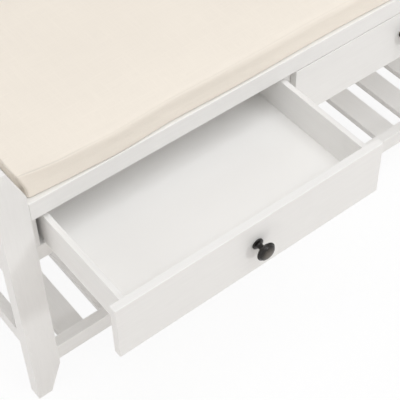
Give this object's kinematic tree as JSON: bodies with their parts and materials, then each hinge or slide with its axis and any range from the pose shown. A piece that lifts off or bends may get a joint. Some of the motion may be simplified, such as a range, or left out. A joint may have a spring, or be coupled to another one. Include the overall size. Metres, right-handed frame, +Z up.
{
  "type": "shoe storage bench",
  "caption": "Low bench with a loose seat cushion, a pair of drawers with round knobs under the seat and a slatted shoe shelf near the floor.",
  "frame": {"origin": "middle of the sole of the front left foot, on the floor", "axes": "+X along the bench to its right end as seen from the front, +Y from the front to the back, +Z up"},
  "size_m": [1.016, 0.5716, 0.502],
  "materials": {
    "white_paint": "satin white paint on wood",
    "cushion_cloth": "plain cream weave over foam",
    "dark_bronze": "dark bronze, satin",
    "steel": "plain zinc plate",
    "beech": "bare"
  },
  "bodies": {
    "frame": {"leg_front_left": "white_paint", "leg_front_right": "white_paint", "leg_back_left": "white_paint", "leg_back_right": "white_paint", "seat_rail_front": "white_paint", "seat_rail_back": "white_paint", "seat_board": "white_paint", "seat_cleat_front": "white_paint", "seat_cleat_back": "white_paint", "side_panel_left": "white_paint", "side_panel_right": "white_paint", "guide_panel_left": "white_paint", "divider": "white_paint", "guide_panel_right": "white_paint", "case_rail_front": "white_paint", "case_rail_back": "white_paint", "case_back_panel": "white_paint", "runner_left": "white_paint", "runner_centre": "white_paint", "runner_right": "white_paint", "kicker_left": "white_paint", "kicker_centre": "white_paint", "kicker_right": "white_paint", "stop_block_left": "white_paint", "stop_block_right": "white_paint", "shelf_rail_front": "white_paint", "shelf_rail_back": "white_paint", "shelf_rail_left": "white_paint", "shelf_rail_right": "white_paint", "slat_1": "white_paint", "slat_2": "white_paint", "slat_3": "white_paint", "slat_4": "white_paint", "slat_5": "white_paint", "slat_6": "white_paint", "slat_7": "white_paint", "slat_8": "white_paint", "slat_9": "white_paint", "slat_10": "white_paint", "slat_11": "white_paint", "slat_12": "white_paint", "dowels": "beech", "screws": "steel"},
    "left_drawer": {"left_drawer_front": "white_paint", "left_drawer_side_left": "white_paint", "left_drawer_side_right": "white_paint", "left_drawer_back": "white_paint", "left_drawer_bottom": "white_paint", "left_drawer_dowels": "beech", "left_drawer_knob": "dark_bronze", "left_drawer_knob_bolt": "steel"},
    "right_drawer": {"right_drawer_front": "white_paint", "right_drawer_side_left": "white_paint", "right_drawer_side_right": "white_paint", "right_drawer_back": "white_paint", "right_drawer_bottom": "white_paint", "right_drawer_dowels": "beech", "right_drawer_knob": "dark_bronze", "right_drawer_knob_bolt": "steel"},
    "cushion": {"cushion": "cushion_cloth"}
  },
  "joints": [
    {"name": "left_drawer_slide", "type": "slide", "parent": "frame", "child": "left_drawer", "axis": [0, -1, 0], "range_m": [-0.1866, 0.0532]},
    {"name": "right_drawer_slide", "type": "slide", "parent": "frame", "child": "right_drawer", "axis": [0, -1, 0], "range_m": [0, 0.2398]},
    {"name": "cushion_lift", "type": "slide", "parent": "frame", "child": "cushion", "axis": [0, 0, 1], "range_m": [0, 0.1]}
  ]
}
